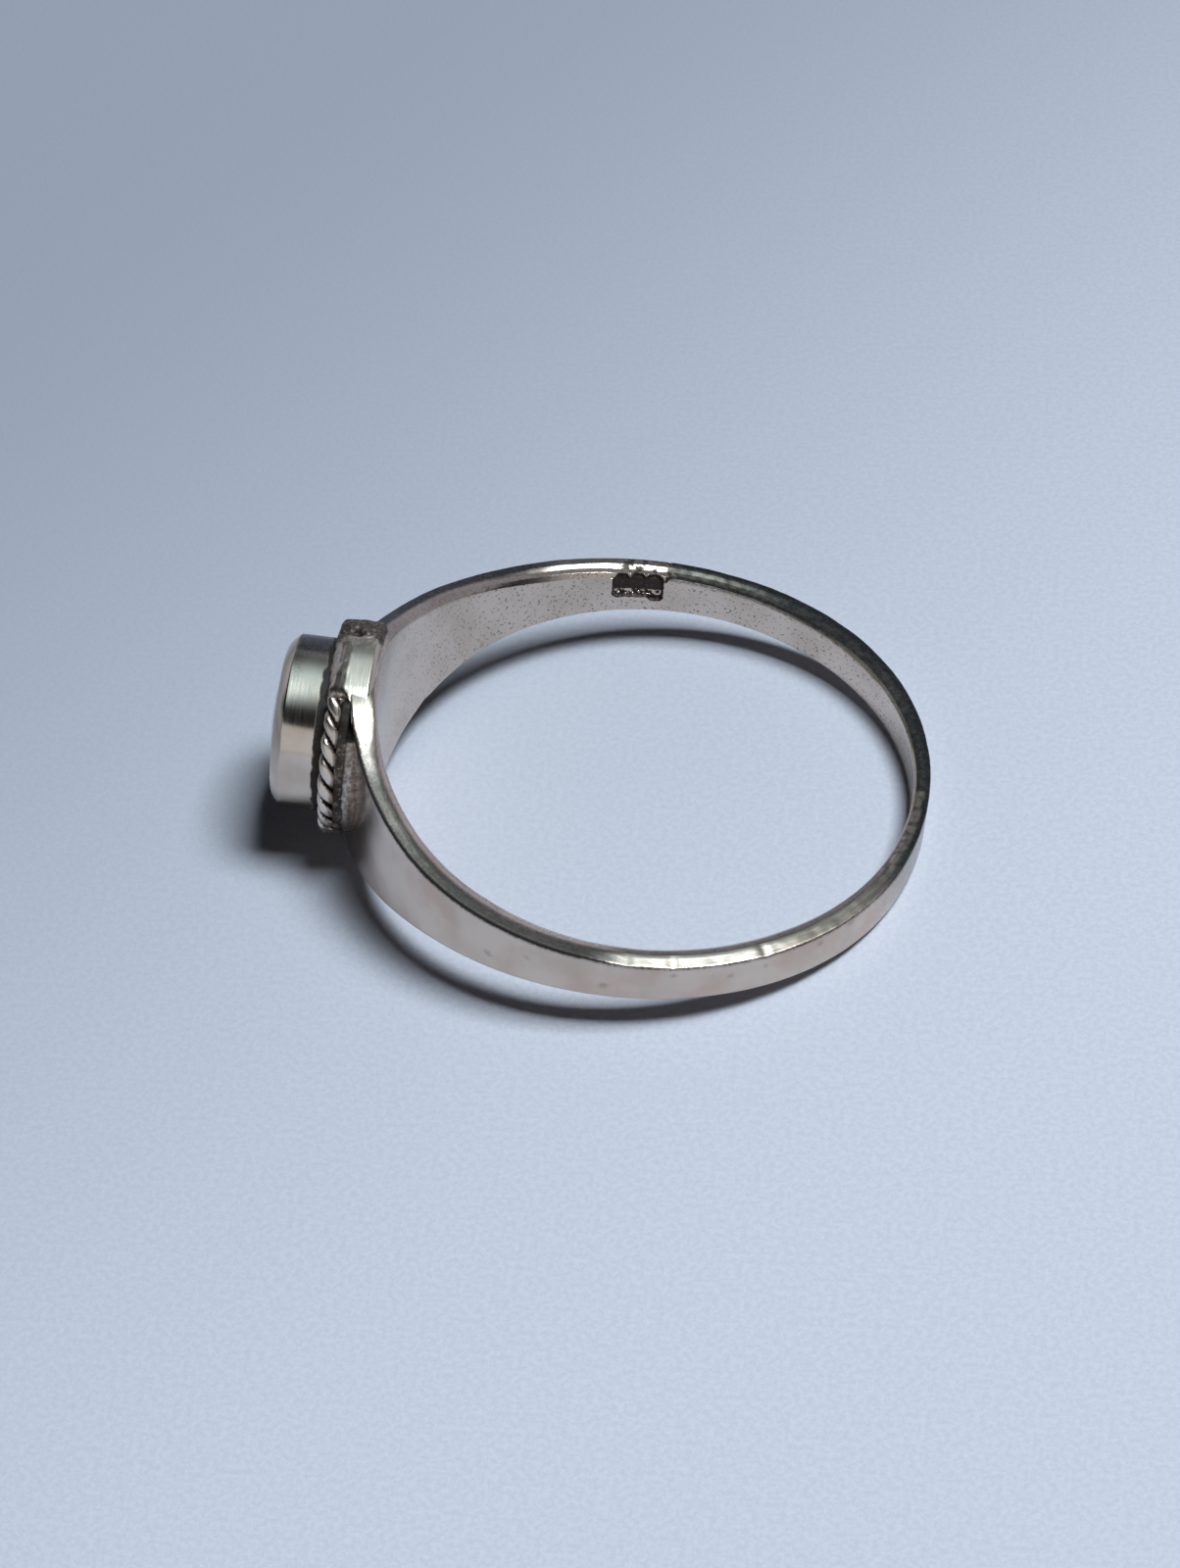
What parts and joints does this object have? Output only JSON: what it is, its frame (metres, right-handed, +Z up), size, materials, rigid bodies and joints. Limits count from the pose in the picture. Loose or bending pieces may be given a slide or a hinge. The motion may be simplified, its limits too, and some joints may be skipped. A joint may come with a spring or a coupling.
{
  "type": "silver ring with abalone cabochon",
  "caption": "Finger ring: flared silver band, round bezel cup with rope border, low abalone shell cabochon; lies on its side.",
  "frame": {"origin": "centre of the ring's bounding box, on the surface that it rests on", "axes": "+X from the stone towards the back of the shank, +Y away from the viewer, +Z up; the ring lies on its side, so its finger hole opens upwards, tipped 8.4 degrees towards +X"},
  "size_m": [0.022, 0.0196, 0.0075],
  "materials": {
    "silver": "worn satin sterling silver, brown-black tarnish in the crevices of the rope and the worn mark",
    "abalone": "polished abalone shell, iridescent green, blue and pink bands"
  },
  "bodies": {
    "root": {"silver_ring": "silver", "abalone_stone": "abalone"}
  },
  "joints": []
}
